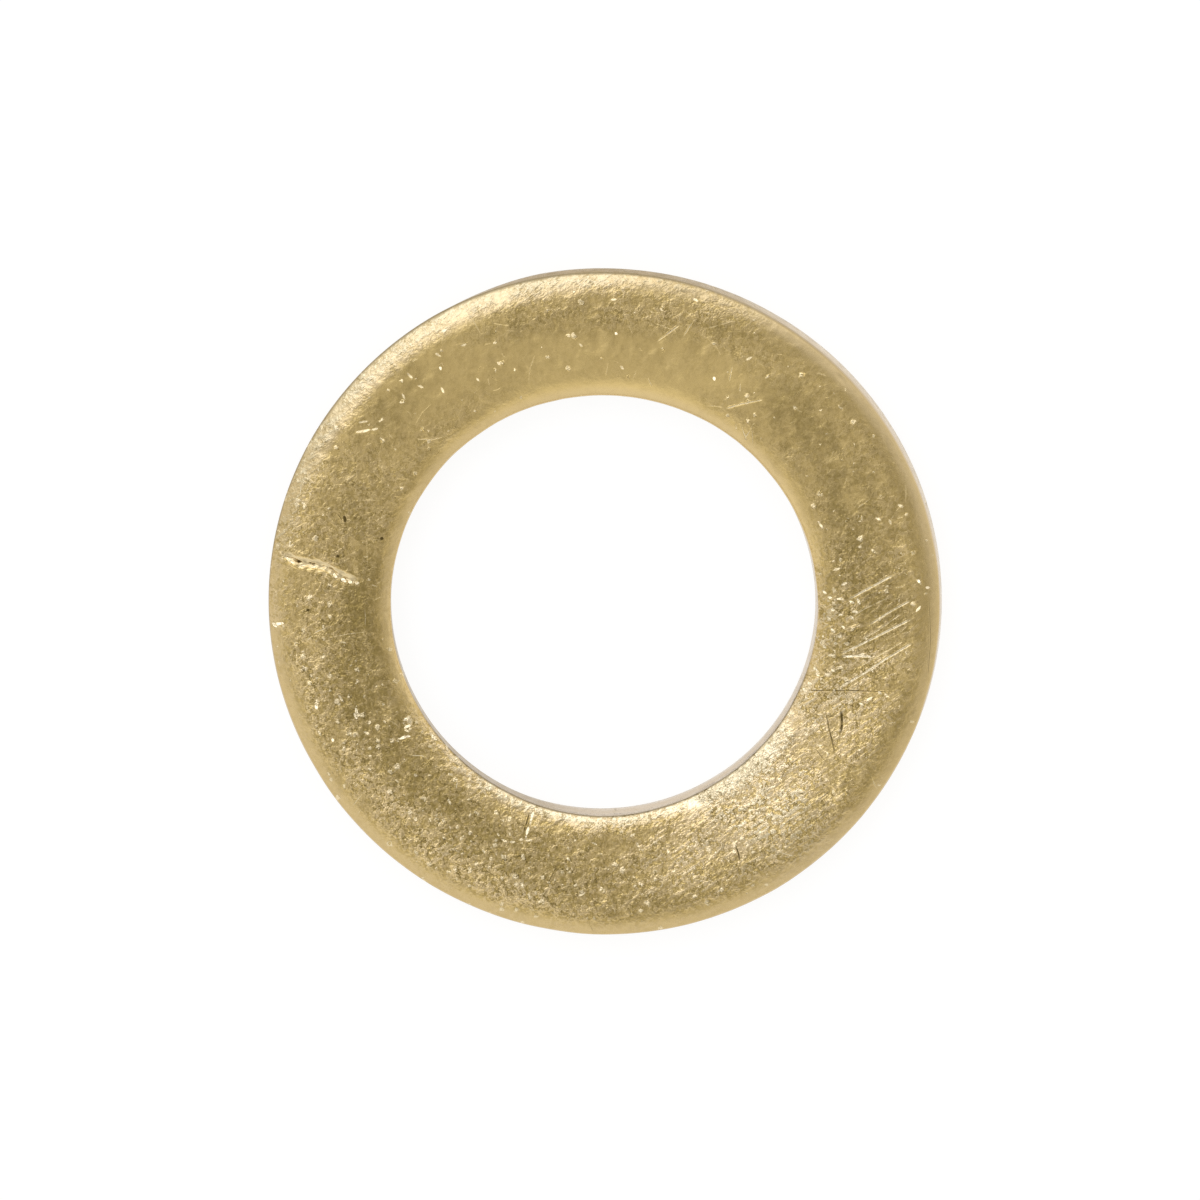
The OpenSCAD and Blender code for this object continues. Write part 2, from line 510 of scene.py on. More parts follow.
def hairs():
    """Random fine scratches, mostly short, some in the direction of the long ones at the right."""
    rng = np.random.default_rng(HAIR_SEED)
    found = []
    shortest, longest = HAIR_LENGTH
    for _ in range(HAIR_COUNT):
        cr = within_ring(rng, *HAIR_MARGINS)
        ca = rng.random() * 2 * math.pi
        at_right = math.cos(ca - math.radians(PARALLEL_AT)) > PARALLEL_COS
        if at_right and rng.random() < PARALLEL_SHARE:
            turn = math.radians(rng.normal(PARALLEL_TURN, PARALLEL_SPREAD))
        else:
            turn = rng.random() * math.pi
        half = shortest * (longest / shortest) ** (rng.random() ** HAIR_BIAS)
        bend = rng.normal(0, HAIR_BEND) * half
        cx, cy = cr * math.cos(ca), cr * math.sin(ca)
        c, s = math.cos(turn), math.sin(turn)
        bow = ((-half, 0), (0, bend), (half, 0))
        path = [(cx + u * c - v * s, cy + u * s + v * c) for u, v in bow]
        bright = rng.random() < HAIR_BRIGHT
        tone = rng.uniform(*HAIR_BRIGHT_TONE) if bright else -rng.uniform(*HAIR_DARK_TONE)
        found.append((rng.uniform(*HAIR_W), tone, path))
    return found


def spread(path, step=0.08):
    """Points close together along a path, to compare how near two paths come."""
    points = []
    for (ax, ay), (bx, by) in zip(path, path[1:]):
        count = max(2, math.ceil(math.hypot(bx - ax, by - ay) / step))
        points += [(ax + (bx - ax) * t, ay + (by - ay) * t) for t in np.linspace(0, 1, count)]
    return np.array(points)


def layered(strokes, count):
    """Strokes shared out over the layers; one that fits in none is left out."""
    layers = [[] for _ in range(count)]
    taken = [np.empty((0, 2)) for _ in range(count)]
    for stroke in strokes:
        points = spread(stroke[2])
        for k in range(count):
            gap = np.inf
            if len(taken[k]):
                gap = np.min(np.linalg.norm(points[:, None] - taken[k][None], axis=2))
            if gap > SPACING:
                layers[k].append(stroke)
                taken[k] = np.concatenate([taken[k], points])
                break
    return layers


def draw_strokes(mesh, x, y, top):
    """Writes one vector attribute for each layer: across / half-width, strength, tone."""
    named = [(w, t, list(zip(*on_face(*zip(*path))))) for w, t, path in MARKS]
    for k, layer in enumerate(layered(named + hairs(), LAYERS)):
        values = np.zeros((len(x), 3))
        for half_w, tone, path in layer:
            p = np.array(path)
            low, high = p.min(axis=0) - REACH, p.max(axis=0) + REACH
            in_box = (x > low[0]) & (x < high[0]) & (y > low[1]) & (y < high[1])
            near = np.flatnonzero(top & in_box)
            d, s, length = signed_distance(x[near], y[near], path)
            inside = (np.abs(d) < REACH) & (s > -REACH) & (s < length + REACH)
            near, d, s = near[inside], d[inside], s[inside]
            taper = min(TAPER_SHARE * length, TAPER)
            fade = smooth(-TAPER_PAST, taper, s) * smooth(length + TAPER_PAST, length - taper, s)
            values[near, 0] = d / half_w
            values[near, 1] = np.where(np.abs(d) < CORE, fade, 0)
            values[near, 2] = tone
        layer_data = mesh.attributes.new("strokes_%d" % k, "FLOAT_VECTOR", "POINT")
        layer_data.data.foreach_set("vector", values.ravel())


def roll_slope(r):
    """Slope of the new ring's upper side at a radius, positive where it falls outwards."""
    steepest = 0.7
    if r > LAND_OUT:
        return math.tan(math.asin(min((r - LAND_OUT) / OUTER_ROLL_R, steepest)))
    if r < LAND_IN:
        return -math.tan(math.asin(min((LAND_IN - r) / BORE_ROLL_R, steepest)))
    return 0.0


def draw_knocks(mesh, x, y, top):
    """Writes one colour attribute for each layer: place along and across a knock, height of its
    facet in mm, and tone."""
    knocks = []
    for table, half_w, tone, local in KNOCK_TABLES:
        for px, py, u, v in table:
            ends = zip(*on_face((px - u, px + u), (py - v, py + v)))
            knocks.append((half_w, tone, list(ends), local))
    for k, layer in enumerate(layered(knocks, KNOCK_LAYERS)):
        values = np.zeros((len(x), 4))
        for half_w, tone, ((ax, ay), (bx, by)), local in layer:
            cx, cy = (ax + bx) / 2, (ay + by) / 2
            length = math.hypot(bx - ax, by - ay)
            tx, ty = ((bx - ax) / length, (by - ay) / length) if length else (1.0, 0.0)
            half_l = length / 2 + KNOCK_CAP * half_w
            slope = roll_slope(math.hypot(cx, cy)) / math.hypot(cx, cy)
            lean_x = slope * cx + local[0] - FACET_SLOPE * FACET_WAY[0]
            lean_y = slope * cy + local[1] - FACET_SLOPE * FACET_WAY[1]
            dx, dy = x - cx, y - cy
            along, across = dx * tx + dy * ty, dy * tx - dx * ty
            near = top & (np.abs(along) < half_l + REACH) & (np.abs(across) < REACH)
            inside = near & (np.abs(along) < half_l + KNOCK_END) & (np.abs(across) < CORE)
            values[near, 0] = along[near] / half_l
            values[near, 1] = across[near] / half_w
            values[near, 2] = dx[near] * lean_x + dy[near] * lean_y
            values[inside, 3] = tone
        layer_data = mesh.attributes.new("knocks_%d" % k, "FLOAT_COLOR", "POINT")
        layer_data.data.foreach_set("color", values.ravel())


# Where the surface is coarser, calmer, paler and so on. These amounts, and the weights in looks()
# and brass(), were set in rounds of comparing the render with the photograph.
# Spots: pixel, half-lengths in mm, turn, amount.

COARSE = [
    (620, 318, 3.0, 0.45, 0, 0.55),
    (500, 332, 2.0, 0.50, 25, 0.45),
    (745, 352, 1.8, 0.60, -35, 0.55),
    (770, 800, 3.4, 1.7, -45, 1.5),
    (745, 815, 2.0, 1.3, -40, 0.50),
    (850, 700, 2.4, 1.5, 80, 1.15),
    (845, 600, 2.2, 1.4, 85, 0.95),
    (690, 870, 2.6, 1.4, -10, 0.8),
    (550, 880, 3.2, 1.7, -15, 1.46),
    (420, 800, 3.2, 1.7, -45, 1.44),
    (340, 660, 3.2, 1.8, 80, 1.10),
    (345, 520, 2.2, 1.4, 70, 0.5),
]
CALM = [
    (292, 577, 1.1, 0.6, 85, 0.35),
    (640, 370, 4.0, 1.2, 0, 0.82),
    (545, 360, 2.6, 1.0, 12, 0.50),
    (780, 400, 2.2, 1.4, -50, 0.30),
    (440, 375, 2.8, 1.1, 45, 0.68),
]
# The long narrow spot at (748, 772) paints the wide bore highlight at the lower right; the other
# spots there are partly paler abraded metal and partly painted sheen
PALE = [
    (775, 795, 3.2, 1.4, -47, 0.60),
    (735, 825, 2.2, 1.2, -40, 0.35),
    (830, 710, 1.8, 1.3, 80, 0.35),
    (748, 772, 2.2, 0.30, 38, 1.50),
    (690, 860, 2.2, 1.0, 15, 0.35),
]
# The spots at the lower right, and the two narrow ones along the bore's edge at the lower left,
# paint sheen and highlight where the surface leans towards the key light; the others brighten the
# upper face
POLISH_AND_SHEEN_SPOTS = [
    (640, 388, 3.6, 0.5, 0, 0.60),
    (520, 400, 2.6, 0.5, 35, 0.50),
    (470, 455, 1.6, 0.35, 50, 0.45),
    (640, 360, 4.2, 0.9, -8, 0.45),
    (740, 385, 1.8, 1.0, -30, 0.30),
    (440, 370, 2.8, 0.9, 45, 0.35),
    (775, 795, 3.4, 1.5, -47, 1.40),
    (690, 860, 2.2, 1.0, 15, 0.50),
    (855, 735, 1.5, 1.2, 60, 0.60),
    (838, 470, 2.2, 0.6, -65, 0.45),
    (520, 815, 1.8, 0.22, -25, 0.50),
    (455, 765, 1.2, 0.22, -45, 0.50),
]
FLECKED = [
    (305, 490, 1.6, 0.7, 68, 0.22),
    (310, 585, 1.4, 0.7, 90, 0.15),
    (335, 690, 2.4, 1.4, -75, 0.34),
    (400, 740, 1.6, 1.2, -50, 0.40),
    (470, 830, 2.4, 1.2, -35, 0.40),
    (570, 870, 2.6, 1.2, -10, 0.38),
    (700, 860, 2.2, 1.2, 20, 0.38),
    (790, 790, 2.4, 1.4, 50, 0.28),
    (826, 665, 1.8, 0.5, 85, 0.60),
    (834, 605, 1.4, 0.5, 88, 0.35),
    (870, 560, 1.6, 1.0, 85, 0.15),
    (785, 350, 1.6, 0.6, -40, 0.18),
    (850, 430, 1.6, 0.8, -60, 0.12),
    (385, 385, 1.6, 0.8, 48, 0.12),
    (660, 360, 3.6, 1.0, 0, -0.05),
]
TARNISHED = [
    (610, 325, 2.6, 0.35, 0, 0.15),
    (528, 326, 1.6, 0.35, 12, 0.25),
    (891, 612, 0.8, 0.8, 0, 0.35),
    (752, 862, 1.6, 0.45, 28, 0.35),
    (816, 815, 1.6, 0.45, 45, 0.40),
    (846, 668, 0.9, 0.5, 80, 0.20),
    (822, 600, 0.9, 0.35, 88, 0.45),
    (400, 375, 1.6, 0.4, 48, 0.15),
    (500, 312, 1.8, 0.4, 22, 0.20),
    (590, 305, 1.4, 0.4, 4, 0.08),
    (360, 655, 2.2, 0.95, 82, 1.00),
    (368, 590, 1.4, 0.8, 88, 0.40),
    (388, 736, 1.7, 0.85, -60, 0.75),
    (430, 792, 1.7, 0.8, -45, 0.7),
    (482, 836, 1.7, 0.8, -30, 0.55),
    (545, 862, 1.8, 0.8, -15, 0.4),
    (610, 870, 1.6, 0.8, 0, 0.3),
    (350, 520, 1.4, 0.8, 75, 0.35),
    (390, 410, 2.0, 0.9, 50, 0.2),
    (345, 610, 0.9, 0.5, 60, 0.4),
    (745, 340, 1.0, 0.4, -35, 0.15),
    (717, 331, 0.3, 0.2, -30, 0.5),
    (800, 420, 1.4, 0.8, -50, 0.45),
    (850, 505, 1.6, 0.9, -70, 0.5),
    (845, 570, 1.0, 0.7, 80, 0.6),
    (872, 600, 0.8, 0.6, 60, 0.5),
    (855, 640, 0.9, 0.5, 30, 0.35),
    (650, 905, 2.2, 0.6, 5, 0.3),
    (560, 890, 1.8, 0.6, -12, 0.3),
    (890, 740, 1.6, 0.5, 62, 0.4),
    (820, 850, 1.6, 0.45, 45, 0.4),
]

# Bands along the rolls and edges: amount, sector, and pairs of radii between which it comes in
BORE_EDGE, OUTER_EDGE = (BORE_R + 0.50, BORE_R + 0.12), (10.5, 10.8)
# The all-round pale bands are worn edges; the strong ones at 280 and 125 degrees paint the
# highlights on the bore's edge and the outer roll, pale above 1 taking them to near-white
PALE_BANDS = [
    (0.3, ALL_ROUND, BORE_EDGE),
    (0.3, (110, 60, 40), BORE_EDGE),
    (1.3, (280, 35, 30), BORE_EDGE),
    (0.4, ALL_ROUND, OUTER_EDGE),
    (0.3, (50, 35, 20), OUTER_EDGE),
    (0.9, (125, 18, 35), (10.2, 10.6)),
]
# The band at 130 degrees paints a wider highlight on the outer roll; the one at 350 degrees
# brightens the outer roll there
POLISH_AND_HIGHLIGHT_BANDS = [
    (0.5, (350, 15, 15), (9.9, 10.2), (10.8, 10.5)),
    (0.4, (130, 20, 30), (9.8, 10.1), (10.7, 10.3)),
]
FLECKED_BANDS = [
    (0.05, (200, 45, 20), (10.2, 10.5)),
    (0.30, (158, 12, 8), (10.1, 10.4)),
]
DULL_BANDS = [
    (0.09, (100, 50, 30), (7.45, 7.1)),
    (0.20, (358, 7, 7), (7.9, 7.6), (7.05, 7.2)),
    (0.10, (157, 10, 8), (10.3, 10.5)),
]
# where the bore's roll isn't dull: a painted highlight, its tarnish left off where the key light
# falls
LIT_BANDS = [
    (1, (255, 45, 35), (7.35, 7.05)),
    (1, (309, 16, 12), (7.8, 7.45)),
]
# the two edges of the lower face
BASE_EDGES = [
    (1, ALL_ROUND, (9.8, 10.7)),
    (1, ALL_ROUND, (8.2, 7.3)),
]

# Sectors of the rolls: where they are coarse, less dull (a painted highlight on the outer roll),
# rubbed, or hold no flecks
LIVELY_OUTSIDE, LIVELY_INSIDE = (125, 45, 30), (290, 65, 30)
BRIGHT_ROLL = (118, 26, 20)
RUBBED_AT, RUBBED_ROLL = (-38, 32, 30), (125, 35, 20)
UNFLECKED_ROLL = (100, 35, 15)
# Sectors of the walls: where they are aged, and where a painted dark line lies under the rim
AGED_OUTSIDE, AGED_INSIDE = (125, 35, 45), (220, 25, 30)
SHADED_OUTSIDE, SHADED_INSIDE = (90, 35, 25), (280, 50, 30)


def looks(x, y, r, a, z, out_z, top, bared):
    """The values that the material reads: how strong each kind of wear is at every point."""
    outside = r > MID_R
    under = out_z < -0.5
    roll = smooth(LAND_OUT, LAND_OUT + 0.65, r) + smooth(LAND_IN, LAND_IN - 0.6, r)
    roll = np.where(top, roll, 0)
    calm = spots(x, y, CALM)

    lively = np.where(outside, 0.9 * sector(a, *LIVELY_OUTSIDE), 1.1 * sector(a, *LIVELY_INSIDE))
    coarse = np.clip(0.66 + 1.1 * spots(x, y, COARSE) - calm, 0.16, 2.8)
    coarse *= (1 - (0.78 - 0.7 * lively) * roll) * (1 - 0.85 * bared)
    coarse += 0.6 * lively * roll
    tarnish = spots(x, y, TARNISHED) * (1 - 0.8 * roll)
    pale = spots(x, y, PALE) + bands(r, a, PALE_BANDS) + 0.25 * roll * outside
    rubbed = 0.25 + 0.45 * sector(a, *RUBBED_AT) + 0.7 * sector(a, *RUBBED_ROLL) * roll
    polished = spots(x, y, POLISH_AND_SHEEN_SPOTS) + bands(r, a, POLISH_AND_HIGHLIGHT_BANDS)
    flecked = 0.05 + 0.65 * spots(x, y, FLECKED) + bands(r, a, FLECKED_BANDS)
    flecked *= (1 - bared) * (1 - 0.85 * roll * sector(a, *UNFLECKED_ROLL))

    # the rolls' tarnish is lifted where the key light's highlight falls on them: a painted
    # highlight
    lit = np.clip(bands(r, a, LIT_BANDS), 0, 1)
    roll_dull = np.where(outside, 0.36 - 0.14 * sector(a, *BRIGHT_ROLL), 0.20 * (1 - lit))
    dull = roll * roll_dull + bands(r, a, DULL_BANDS)
    # a dark line just under the rim, in chosen sectors: a painted dark reflection
    under_rim = (out_z > 0.10) & (out_z < 0.72) & (z > RIM_Z - 0.35)
    shaded = np.where(outside, 0.35 * sector(a, *SHADED_OUTSIDE), sector(a, *SHADED_INSIDE))

    # the lower face is flat and evenly tarnished, and rubbed paler along its two edges
    edges = bands(r, a, BASE_EDGES)

    def by_face(upper, lower, walls):
        return np.where(top, upper, np.where(under, lower, walls))

    return {
        "roll": roll,
        "coarse": by_face(coarse, 0.6, 0.2),
        "tarnish": by_face(tarnish, 0.34 * (1 - 0.6 * edges), 0.1),
        "pale": by_face(pale, 0.05 + 0.35 * edges, 0.4),
        "rubbed": by_face(rubbed, 0.5, 0.6),
        "polished": by_face(polished, 0, 0),
        "flecked": by_face(flecked, 0.02, 0.02),
        "blotched": by_face(np.clip(1 - 0.95 * calm, 0.2, 1), 1, 1),
        "dull": np.where(under, 0.10, dull),
        "bared": bared,
        "wall": np.where(np.abs(out_z) < 0.5, np.where(outside, 0.7, 1.0), 0),
        "aged": np.where(outside, sector(a, *AGED_OUTSIDE), 0.5 * sector(a, *AGED_INSIDE)),
        "edge_line": under_rim * shaded,
    }


def build_ring():
    """The ring as one closed mesh of quads, with its wear and what its material reads."""
    points = section()
    angles = ring_angles()
    rows, columns = len(points), len(angles)
    way = np.roll(points, -1, axis=0) - np.roll(points, 1, axis=0)
    way /= np.linalg.norm(way, axis=1)[:, None]
    r, z, out_r, out_z = (np.repeat(v, columns) for v in (*points.T, way[:, 1], -way[:, 0]))
    a = np.tile(angles, rows)
    x, y = r * np.cos(a), r * np.sin(a)
    off_middle = np.abs(r - MID_R)

    widened = np.clip(np.cos(a + LEAN_TURN), 0, None)
    lean_out = WALL_LEAN * (widened - DRAWN_IN_SHARE * sector(a, *DRAWN_IN))
    lean_in = -WALL_LEAN * sector(a, *BORE_LEAN)
    drop = np.clip((LEAN_FROM_Z - z) / LEAN_DROP, 0, 1)
    flare = np.where(r > MID_R, lean_out, lean_in) * drop * smooth(*LEAN_IN, off_middle)

    top = (z > RIM_Z) & (out_z > 0)
    cut, bared = gouge(x, y, top)
    push = relief(x, y, top) * (1 - 0.7 * bared) + cut
    push = push * smooth(RIM_Z, RIM_Z + WEAR_IN, z) * top
    round_off = np.where(r > MID_R, by_angle(a, OUTER_ROUND), by_angle(a, BORE_ROUND))
    moved = r + flare + round_off * smooth(*ROUND_IN, off_middle) + push * out_r
    height = z + push * out_z - sag(r, a) * smooth(BREAK_H, RIM_Z, z)
    verts = np.column_stack([moved * np.cos(a), moved * np.sin(a), height]) * MM

    i = np.arange(rows)[:, None]
    j = np.arange(columns)[None, :]
    i2, j2 = (i + 1) % rows, (j + 1) % columns
    quads = [i * columns + j, i * columns + j2, i2 * columns + j2, i2 * columns + j]
    mesh = bpy.data.meshes.new("sealing_ring_worn")
    mesh.from_pydata(verts.tolist(), [], np.stack(quads, -1).reshape(-1, 4).tolist())
    mesh.shade_smooth()
    for name, values in looks(x, y, r, a, z, out_z, top, bared).items():
        mesh.attributes.new(name, "FLOAT", "POINT").data.foreach_set("value", values)
    draw_strokes(mesh, x, y, top)
    draw_knocks(mesh, x, y, top)

    piece = bpy.data.objects.new("sealing_ring_worn", mesh)
    bpy.context.collection.objects.link(piece)
    return piece


# Materials

class Graph:
    """Adds nodes to a node tree. A value may be a number, a colour or another node's output."""

    def __init__(self, tree):
        self.tree = tree

    def node(self, kind, inputs=None, **settings):
        made = self.tree.nodes.new(kind)
        for name, value in settings.items():
            setattr(made, name, value)
        for name, value in (inputs or {}).items():
            self.put(made.inputs[name], value)
        return made

    def put(self, socket, value):
        if isinstance(value, bpy.types.NodeSocket):
            self.tree.links.new(value, socket)
        else:
            socket.default_value = value

    def math(self, operation, *values, clamp=False):
        made = self.node("ShaderNodeMath", dict(enumerate(values)), operation=operation,
                         use_clamp=clamp)
        return made.outputs[0]

    def times(self, first, *values):
        """All of the values multiplied."""
        for value in values:
            first = self.math("MULTIPLY", first, value)
        return first

    def plus(self, first, *values):
        """All of the values added."""
        for value in values:
            first = self.math("ADD", first, value)
        return first

    def linear(self, value, slope, offset, clamp=False):
        """value x slope + offset, where each may also be another node's output."""
        return self.math("MULTIPLY_ADD", value, slope, offset, clamp=clamp)

    def distance(self, value, middle):
        return self.math("ABSOLUTE", self.math("SUBTRACT", value, middle))

    def vector(self, operation, *values):
        return self.node("ShaderNodeVectorMath", dict(enumerate(values)), operation=operation)

    def parts(self, vector):
        return self.node("ShaderNodeSeparateXYZ", {0: vector}).outputs

    def scaled(self, vector, factor):
        made = self.vector("SCALE", vector)
        made.inputs["Scale"].default_value = factor
        return made.outputs[0]

    def fade(self, value, low, high, start=0.0, end=1.0):
        """start where value is at low and end where it is at high, smooth between."""
        made = self.node("ShaderNodeMapRange", {"Value": value, "From Min": low, "From Max": high,
                                                "To Min": start, "To Max": end},
                         interpolation_type="SMOOTHSTEP")
        return made.outputs["Result"]

    def mix(self, amount, first, second):
        """A colour between two; the node keeps the amount from 0 to 1."""
        made = self.node("ShaderNodeMix", data_type="RGBA")
        self.put(made.inputs[0], amount)
        self.put(made.inputs[6], first)
        self.put(made.inputs[7], second)
        return made.outputs[2]

    def attribute(self, name):
        """The outputs of an attribute of the mesh."""
        return self.node("ShaderNodeAttribute", attribute_name=name).outputs

    def number(self, name):
        return self.attribute(name)["Fac"]

    def noise(self, where, scale, detail, roughness):
        """The outputs of a noise, with its scale in cells for each mm."""
        return self.node("ShaderNodeTexNoise", {"Vector": where, "Scale": scale, "Detail": detail,
                                                "Roughness": roughness}).outputs


# colours of the brass, with a near-white one that paints glints and highlights and a dark one for
# dirt and painted shade; EDGE_AGED tints the glancing light of an aged wall
CLEAN = (0.805, 0.588, 0.233, 1)
POLISHED_AND_SHEEN = (0.990, 0.730, 0.295, 1)
ABRADED_AND_HIGHLIGHT = (0.955, 0.738, 0.420, 1)
BARE = (0.830, 0.680, 0.410, 1)
OLIVE = (0.322, 0.231, 0.074, 1)
PAINTED_GLINT = (1.00, 0.85, 0.56, 1)
WALL = (0.660, 0.538, 0.385, 1)
WALL_AGED = (0.330, 0.265, 0.165, 1)
EDGE_AGED = (0.80, 0.72, 0.60, 1)
DIRT_AND_SHADE = (0.125, 0.087, 0.027, 1)
WHITE = (1, 1, 1, 1)


# scratches: depth of the groove and height of its lips, in mm, and their places in half-widths;
# knocks: where the facet ends, in squared half-widths
GROOVE_DEPTH, LIP_RISE = 0.016, 0.005
GROOVE_EDGES, LIPS_AT, LIP_EDGES = (1.15, 0.4), 1.7, (0.9, 0.0)
KNOCK_EDGES = (1.3, 0.6)
# struck spots: how many for each mm, their size in mm, and how steep their facets are
STRUCK_SCALE, STRUCK_R, STRUCK_LEAN, STRUCK_LEAN_MORE = 4.6, 0.075, -0.10, -0.24
STRUCK_WANDER = 0.20
# bump, in mm: the fine grain, soft waves and struck spots of the face, and how much less on a roll
GRAIN_H = 0.030
SOFT_H, SOFT_ON_ROLL = 0.016, -0.011
STRUCK_H, STRUCK_ON_ROLL = 0.03, -0.01
# rubbing streaks: their turn, and their length and width in mm
STREAK_TURN, STREAK_SIZE = math.radians(36), (0.7, 0.075, 1)


def split_tone(g, tone):
    """The bright and the dark part of a tone from -1 to 1."""
    return g.math("MAXIMUM", tone, 0.0), g.math("MAXIMUM", g.times(tone, -1.0), 0.0)


def stroke_layer(g, name, broken):
    """Height in mm, brightness and darkness of one layer of scratches, broken up along them."""
    across, strength, tone = g.parts(g.attribute(name)["Vector"])
    off = g.math("ABSOLUTE", across)
    strength = g.times(strength, broken)
    core = g.times(g.fade(off, *GROOVE_EDGES), strength)
    lip = g.times(g.fade(g.distance(off, LIPS_AT), *LIP_EDGES), strength)
    height = g.linear(core, -GROOVE_DEPTH, g.times(lip, LIP_RISE))
    bright, dark = split_tone(g, tone)
    return g.times(g.math("ABSOLUTE", tone), height), g.times(core, bright), g.times(core, dark)


def knock_layer(g, name, uneven):
    """Height in mm, brightness and darkness of one layer of single knocks."""
    knock = g.attribute(name)
    along, across, facet = g.parts(knock["Vector"])
    off = g.plus(g.times(along, along), g.times(across, across), uneven)
    bright, dark = split_tone(g, g.times(g.fade(off, *KNOCK_EDGES), knock["Alpha"]))
    return g.times(bright, facet), bright, dark


def struck_spots(g, where, bent):
    """Single small knocks: where they lie, from 0 to 1, and the height of their facets in mm.
    A share of the cells has one, each of its own size."""
    cells = g.node("ShaderNodeTexVoronoi", voronoi_dimensions="2D", feature="F1")
    g.put(cells.inputs["Vector"], bent)
    g.put(cells.inputs["Scale"], STRUCK_SCALE)
    pick = g.node("ShaderNodeSeparateColor", {0: cells.outputs["Color"]}).outputs
    chosen = g.math("LESS_THAN", pick[0], g.number("flecked"))
    radius = STRUCK_R * STRUCK_SCALE
    reach = g.linear(g.times(pick[1], pick[1]), 1.5 * radius, 0.4 * radius)
    off = g.math("DIVIDE", cells.outputs["Distance"], reach)
    struck = g.times(g.fade(off, 1.0, 0.55), chosen)
    from_middle = g.vector("SUBTRACT", where, cells.outputs["Position"]).outputs[0]
    along = g.vector("DOT_PRODUCT", from_middle, FACET_WAY).outputs["Value"]
    lean = g.times(along, g.linear(pick[2], STRUCK_LEAN_MORE, STRUCK_LEAN))
    return struck, g.times(struck, lean)


